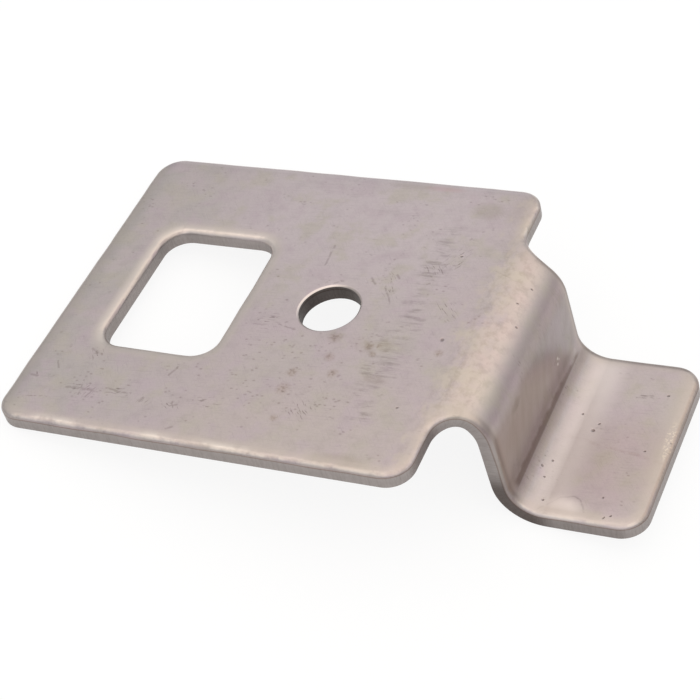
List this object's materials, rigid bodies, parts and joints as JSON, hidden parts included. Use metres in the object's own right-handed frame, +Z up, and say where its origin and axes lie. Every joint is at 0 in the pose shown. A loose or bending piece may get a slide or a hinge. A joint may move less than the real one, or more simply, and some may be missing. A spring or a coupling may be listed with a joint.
{
  "type": "seat clip",
  "caption": "Stamped sheet-metal clip: a flat plate with a rounded window and a bolt hole, and a narrower tongue that steps down and out again to a short foot.",
  "frame": {"origin": "on the surface the clip lies on, under the middle of its box, as it rests on its plain end's lower edge and on the outside of its lower bend", "axes": "+X from the plate's plain end towards the foot, +Y across the plate, +Z up; the plate slopes up towards the foot by 14.3 degrees, as it does at rest"},
  "size_m": [0.092, 0.057, 0.0185],
  "materials": {
    "sheet_steel": "tumbled bare steel, satin, with fine scratches"
  },
  "bodies": {
    "root": {"clip_plate": "sheet_steel"}
  },
  "joints": []
}
